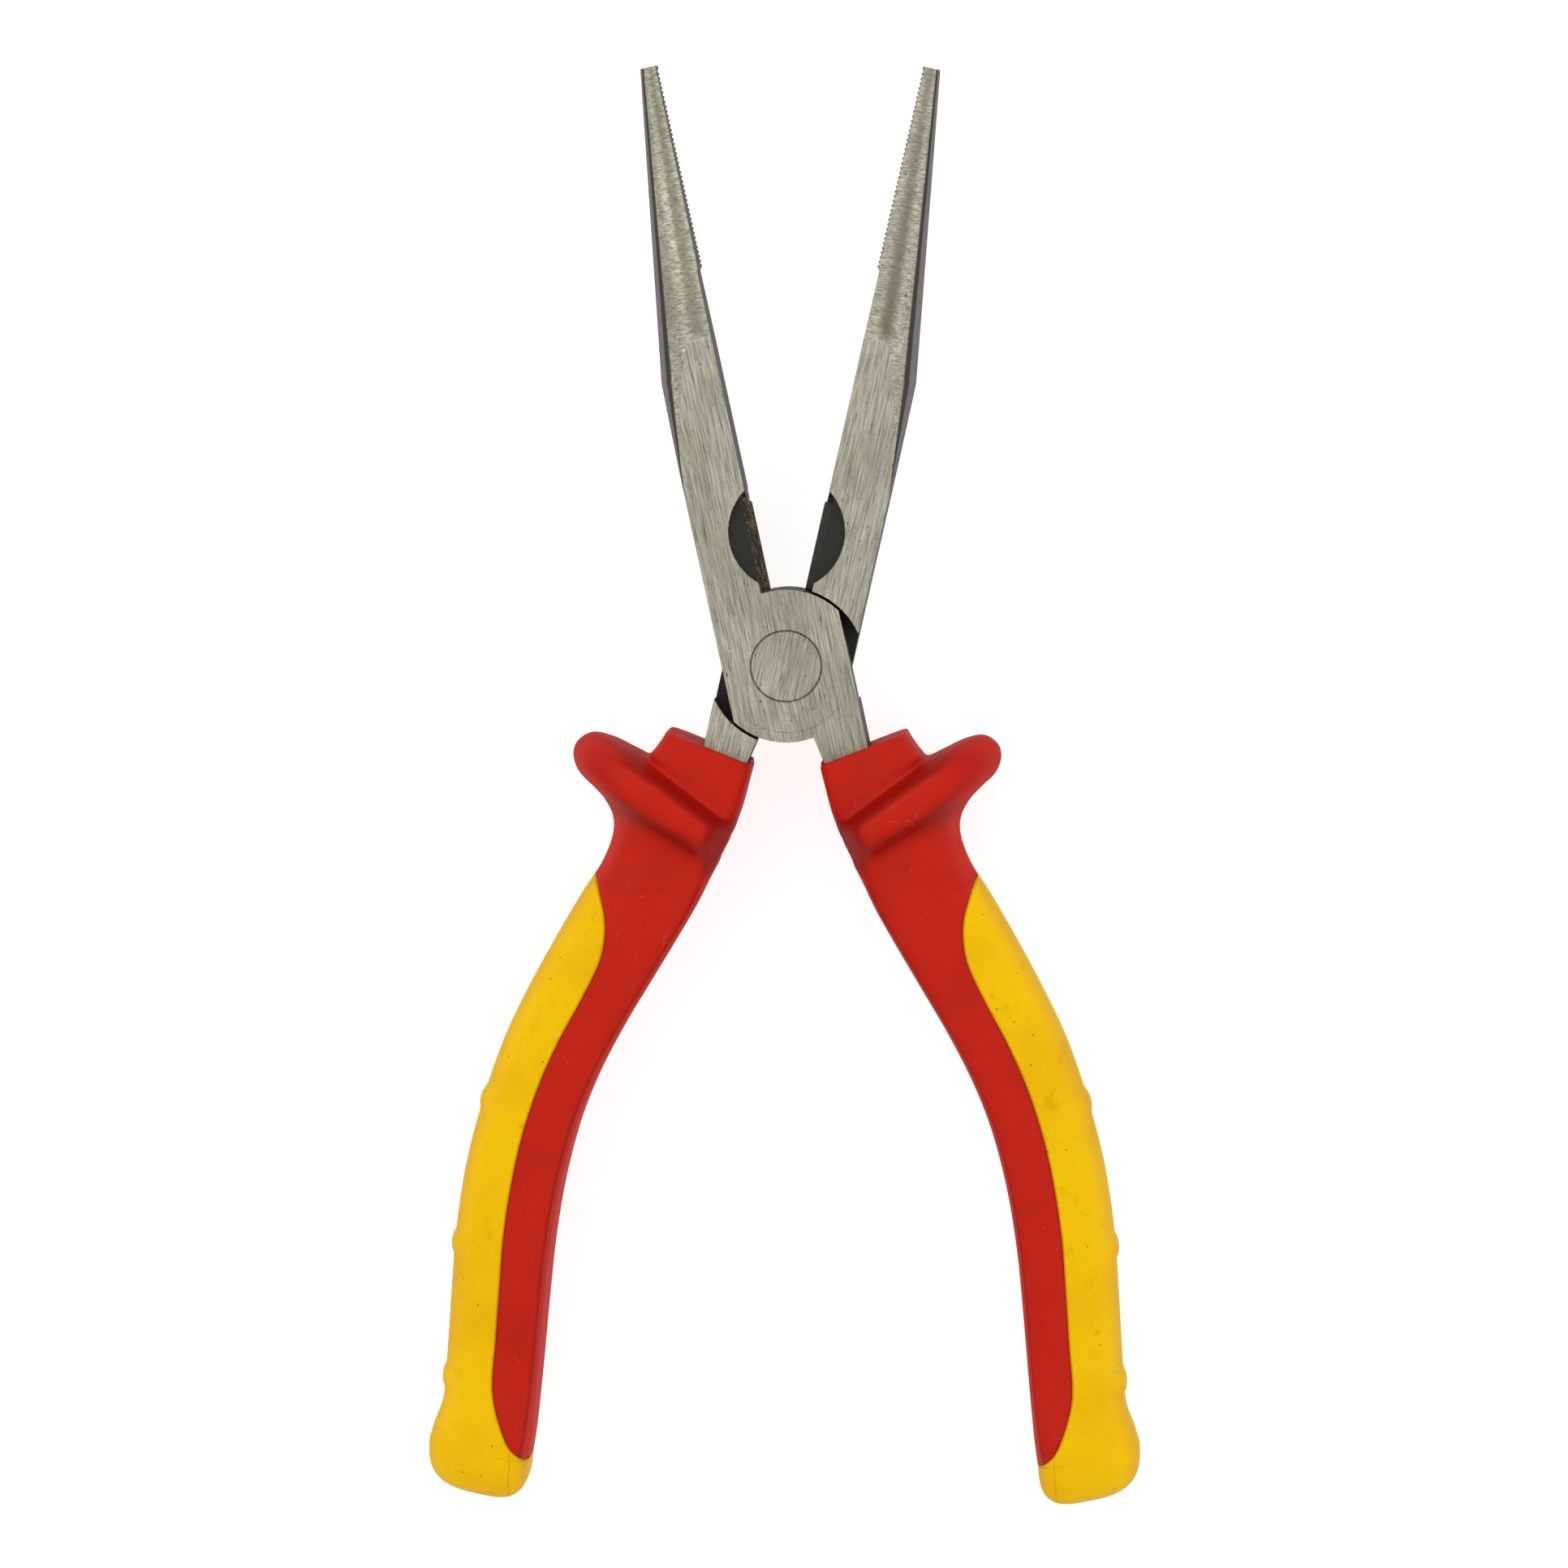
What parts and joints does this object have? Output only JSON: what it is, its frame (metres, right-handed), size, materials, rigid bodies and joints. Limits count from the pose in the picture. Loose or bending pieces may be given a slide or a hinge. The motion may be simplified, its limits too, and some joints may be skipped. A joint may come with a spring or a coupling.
{
  "type": "needle nose pliers",
  "caption": "Insulated long nose pliers with half-round serrated jaws, side cutters, lap joint and two-colour guarded handles.",
  "frame": {"origin": "on the rivet's axis at the back face of the joint", "axes": "+Y towards the jaw tips, +Z along the rivet from the back face to the front face, +X towards the jaw of the back half; the pliers lie open"},
  "size_m": [0.096, 0.193, 0.0232],
  "materials": {
    "forged_steel": "ground bright on the jaw faces, left raw from the forge along the outer edges and inside the jaws",
    "rivet_steel": "ground flush",
    "inner_insulation": "moulded, matte",
    "handle_red": "moulded, satin gloss",
    "grip_yellow": "soft, satin, lightly soiled"
  },
  "bodies": {
    "front_half": {"front_forging": "forged_steel", "front_inner_sleeve": "inner_insulation", "front_handle_shell": "handle_red", "front_soft_grip": "grip_yellow"},
    "back_half": {"back_forging": "forged_steel", "back_inner_sleeve": "inner_insulation", "back_handle_shell": "handle_red", "back_soft_grip": "grip_yellow", "pivot_rivet": "rivet_steel"}
  },
  "joints": [
    {"name": "jaw", "type": "hinge", "parent": "front_half", "child": "back_half", "pos_m": [0, 0, 0.0049], "axis": [0, 0, 1], "range_deg": [-30, 25]}
  ]
}
